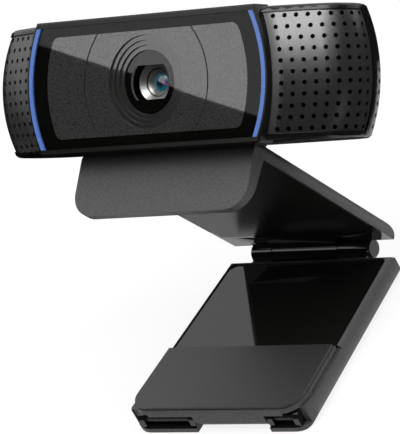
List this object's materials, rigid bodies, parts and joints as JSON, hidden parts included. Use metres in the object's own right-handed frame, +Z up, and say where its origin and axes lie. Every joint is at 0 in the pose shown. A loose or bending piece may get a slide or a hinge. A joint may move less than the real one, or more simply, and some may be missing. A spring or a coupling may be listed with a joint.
{
  "type": "webcam on folding clip",
  "caption": "Wide webcam head with perforated bulging ends and a stepped lens funnel, on a folding monitor clip with a hinged arm, lip, leg, lifting foot and tripod socket.",
  "frame": {"origin": "centre of the tripod socket's mouth on the underside of the lower leg", "axes": "+X to the right of the lens seen from the front, -Y to the front where the lens looks, +Z up with the leg lying flat"},
  "size_m": [0.098, 0.0597, 0.0826],
  "materials": {
    "shell_gloss": "glossy black moulded shell",
    "grille_plastic": "satin black perforated panel",
    "window_black": "polished black plate",
    "cover_clear": "clear polished plate",
    "insert_grey": "dark grey brushed-look film under gloss",
    "light_guide": "blue translucent light guide",
    "funnel_black": "satin black, finely stepped",
    "barrel_metal": "satin metal barrel",
    "lens_glass": "coated glass",
    "clip_plastic": "fine-textured black plastic",
    "pad_rubber": "smooth black rubber",
    "soft_rubber": "matt black rubber",
    "socket_brass": "plain turned brass",
    "can_steel": "plain steel",
    "pin_black": "blackened steel pin",
    "board_green": "coated circuit board",
    "component_black": "moulded component body"
  },
  "bodies": {
    "leg": {"lower_leg": "clip_plastic", "leg_liner": "pad_rubber", "tripod_insert": "socket_brass", "hinge_pin": "pin_black", "foot_pin": "pin_black"},
    "arm": {"upper_arm": "clip_plastic", "arm_pad": "pad_rubber", "lip_pad": "pad_rubber", "tilt_pin": "can_steel", "tilt_washer_left": "can_steel", "tilt_washer_right": "can_steel"},
    "head": {"front_frame": "shell_gloss", "rear_housing": "shell_gloss", "grille_left": "grille_plastic", "grille_right": "grille_plastic", "front_window": "window_black", "cover_glass": "cover_clear", "face_insert": "insert_grey", "light_strip_left": "light_guide", "light_strip_right": "light_guide", "led_left": "component_black", "led_right": "component_black", "lens_bezel": "funnel_black", "aperture_ring": "funnel_black", "autofocus_housing": "component_black", "image_sensor": "component_black", "main_board": "board_green", "shield_can": "can_steel", "cable_header": "component_black", "board_screw_1": "can_steel", "board_screw_2": "can_steel", "board_screw_3": "can_steel", "board_screw_4": "can_steel", "mic_boot_left": "soft_rubber", "mic_boot_right": "soft_rubber", "microphone_left": "can_steel", "microphone_right": "can_steel", "cable_gland": "soft_rubber"},
    "lens": {"lens_barrel": "barrel_metal", "front_lens": "lens_glass"},
    "foot": {"foot_flap": "clip_plastic", "flap_pad": "pad_rubber"}
  },
  "joints": [
    {"name": "clip_hinge", "type": "hinge", "parent": "leg", "child": "arm", "pos_m": [0, 0.0247, 0.0057], "axis": [-1, 0, 0], "range_deg": [-41, 89]},
    {"name": "head_tilt", "type": "hinge", "parent": "arm", "child": "head", "pos_m": [0, 0.00514, 0.05614], "axis": [1, 0, 0], "range_deg": [-12, 18]},
    {"name": "foot_lift", "type": "hinge", "parent": "leg", "child": "foot", "pos_m": [0, -0.0256, 0.00275], "axis": [1, 0, 0], "range_deg": [0, 45]},
    {"name": "lens_focus", "type": "slide", "parent": "head", "child": "lens", "axis": [0, -0.7547, 0.6561], "range_m": [0, 0.0003]}
  ]
}
